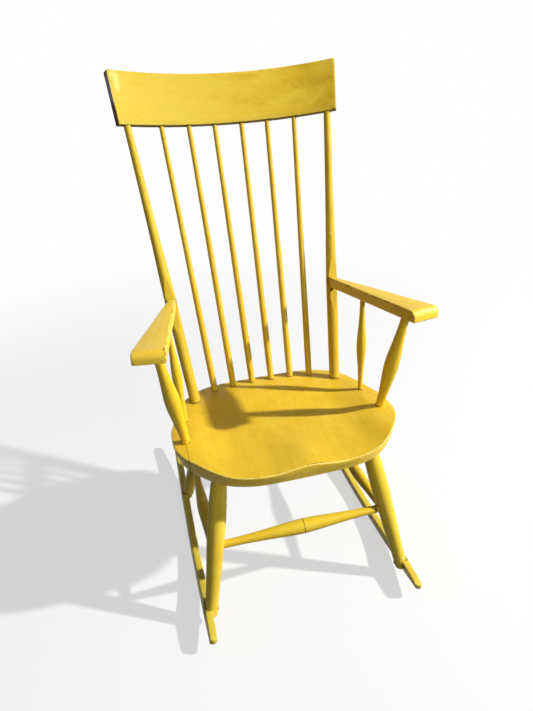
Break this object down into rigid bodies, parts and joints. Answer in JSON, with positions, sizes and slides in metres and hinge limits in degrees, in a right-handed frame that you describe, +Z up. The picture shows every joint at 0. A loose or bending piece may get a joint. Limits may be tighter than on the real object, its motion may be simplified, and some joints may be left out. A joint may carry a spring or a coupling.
{
  "type": "rocking chair",
  "caption": "Painted wooden rod-back rocking chair with a curved crest board, flat arms on turned posts, a saddled plank seat, raked turned legs and stretchers, and curved runners.",
  "frame": {"origin": "bottom centre of the bounding box; the level flats of the two rockers stand on z = 0", "axes": "+Z up, -Y the way a sitter faces, +X to the right as seen from in front of the chair"},
  "size_m": [0.6184, 0.741, 1.1189],
  "materials": {
    "paint": "satin yellow paint, worn",
    "painted_steel": "painted over with the wood",
    "bare_wood": "bare"
  },
  "bodies": {
    "root": {"crest": "paint", "front_stretcher": "paint", "left_arm": "paint", "left_arm_post": "paint", "left_arm_screw": "painted_steel", "left_arm_spindle": "paint", "left_crest_pin": "bare_wood", "left_front_leg": "paint", "left_front_rocker_screw": "painted_steel", "left_rear_leg": "paint", "left_rear_rocker_screw": "painted_steel", "left_rocker": "paint", "left_side_stretcher": "paint", "left_spindle_1": "paint", "left_spindle_2": "paint", "left_spindle_3": "paint", "left_stile": "paint", "rear_stretcher": "paint", "right_arm": "paint", "right_arm_post": "paint", "right_arm_screw": "painted_steel", "right_arm_spindle": "paint", "right_crest_pin": "bare_wood", "right_front_leg": "paint", "right_front_rocker_screw": "painted_steel", "right_rear_leg": "paint", "right_rear_rocker_screw": "painted_steel", "right_rocker": "paint", "right_side_stretcher": "paint", "right_spindle_1": "paint", "right_spindle_2": "paint", "right_spindle_3": "paint", "right_stile": "paint", "seat_edge_board": "paint", "seat_main_board": "paint"}
  },
  "joints": []
}
